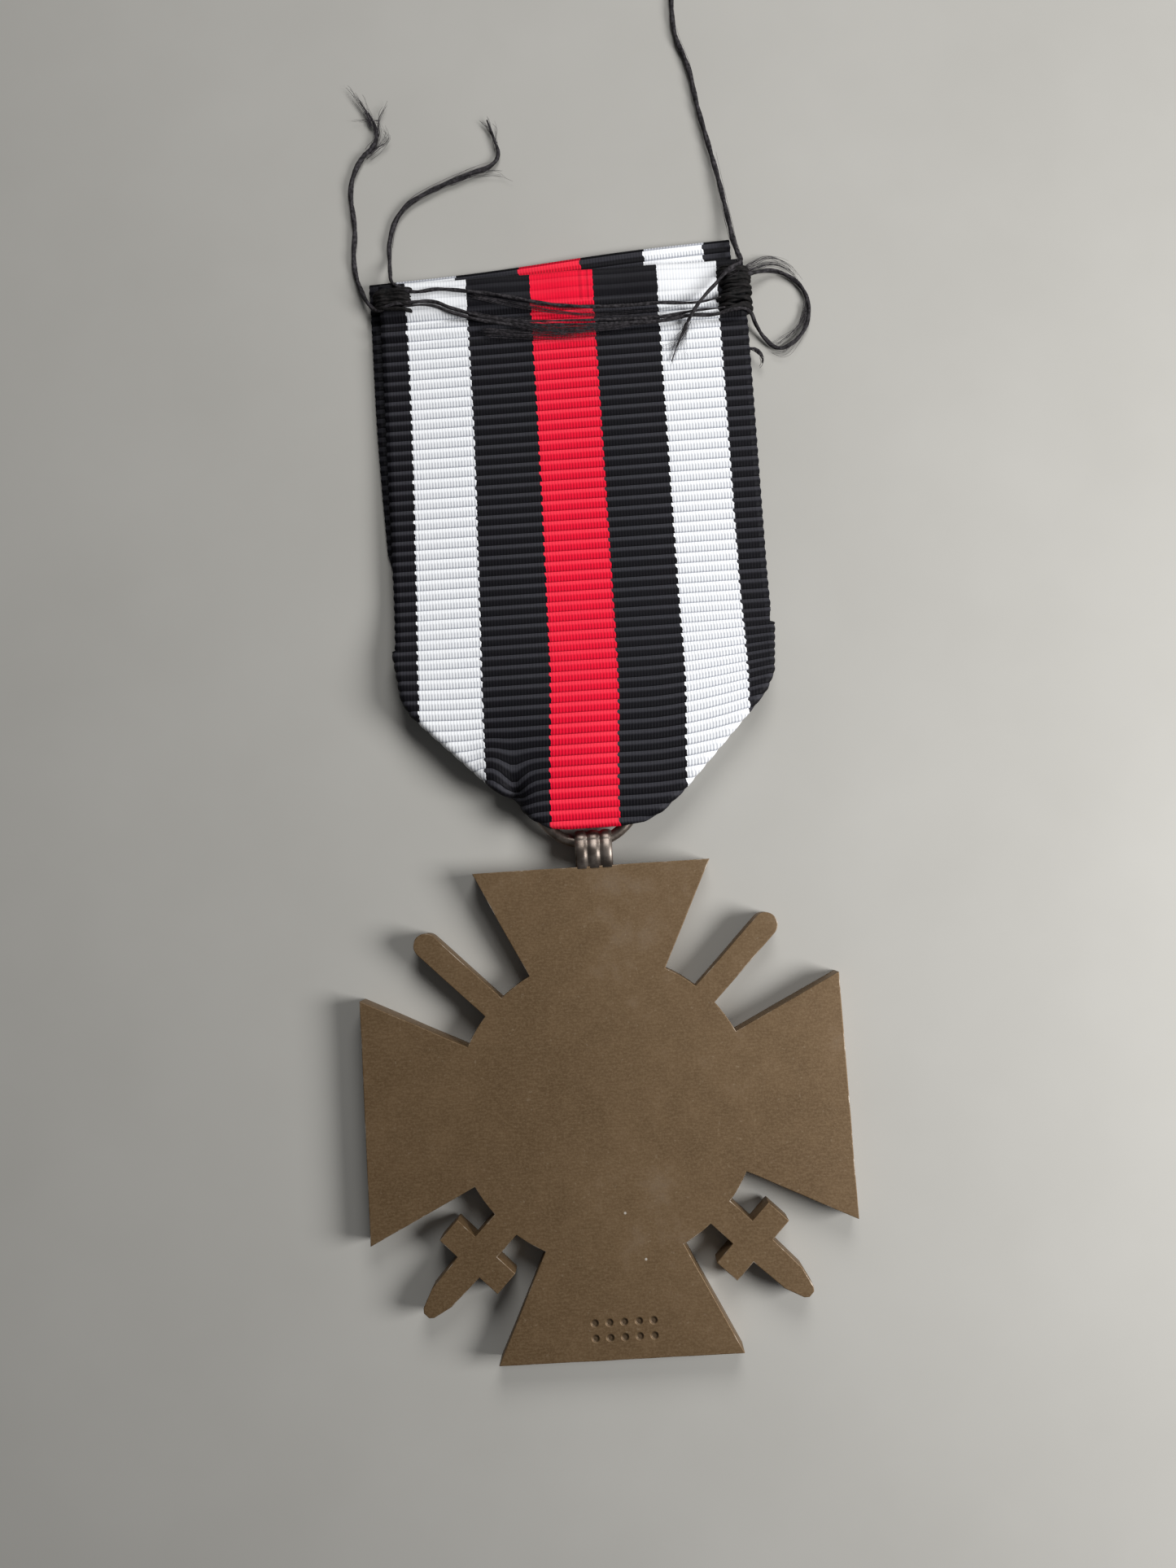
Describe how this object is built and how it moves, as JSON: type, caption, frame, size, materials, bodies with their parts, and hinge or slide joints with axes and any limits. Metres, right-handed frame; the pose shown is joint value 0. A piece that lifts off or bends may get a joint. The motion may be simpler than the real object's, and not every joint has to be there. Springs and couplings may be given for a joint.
{
  "type": "service medal",
  "caption": "Bronzed cross pattee with crossed swords, hung by a ribbed eye and wire ring from a folded striped grosgrain ribbon that is sewn at the top.",
  "frame": {"origin": "middle of the medal's length and width, on the plane that its obverse lies on, loose thread left out", "axes": "+X to the right and +Y from the cross to the top of the ribbon as seen on the reverse, +Z out of the plain reverse"},
  "size_m": [0.0408, 0.1184, 0.0029],
  "materials": {
    "bronzed_metal": "satin brown bronzing with fine grain, worn bright along the edges",
    "gunmetal": "dull grey-brown wire and strip",
    "solder": "dull grey solder",
    "ribbon": "ribbed grosgrain in black, white and red stripes",
    "thread": "loose black sewing thread"
  },
  "bodies": {
    "ribbon_top": {"ribbon_front_upper": "ribbon", "ribbon_back_upper": "ribbon", "ribbon_turned_in_end": "ribbon", "stitch_knot_left": "thread", "stitch_knot_right": "thread", "thread_stitch_upper": "thread", "thread_stitch_middle": "thread", "thread_stitch_lower": "thread", "thread_end_left_inner": "thread", "thread_end_left_outer": "thread", "thread_end_right_long": "thread", "thread_strand_right": "thread", "thread_loop_right": "thread"},
    "ribbon_bottom": {"ribbon_lower": "ribbon"},
    "ring": {"suspension_ring": "gunmetal"},
    "cross": {"cross_with_swords": "bronzed_metal", "suspension_eye": "gunmetal", "eye_solder": "solder"}
  },
  "joints": [
    {"name": "ribbon_bend", "type": "hinge", "parent": "ribbon_top", "child": "ribbon_bottom", "pos_m": [0.0006, 0.0206, 0.00057], "axis": [1, 0, 0], "range_deg": [-60, 60]},
    {"name": "ring_swing", "type": "hinge", "parent": "ribbon_bottom", "child": "ring", "pos_m": [0, -0.001, 0.00145], "axis": [0, 0, 1], "range_deg": [-12, 12]},
    {"name": "cross_tilt", "type": "hinge", "parent": "ring", "child": "cross", "pos_m": [0, -0.00517, 0.00145], "axis": [1, 0, 0], "range_deg": [-90, 90]}
  ]
}
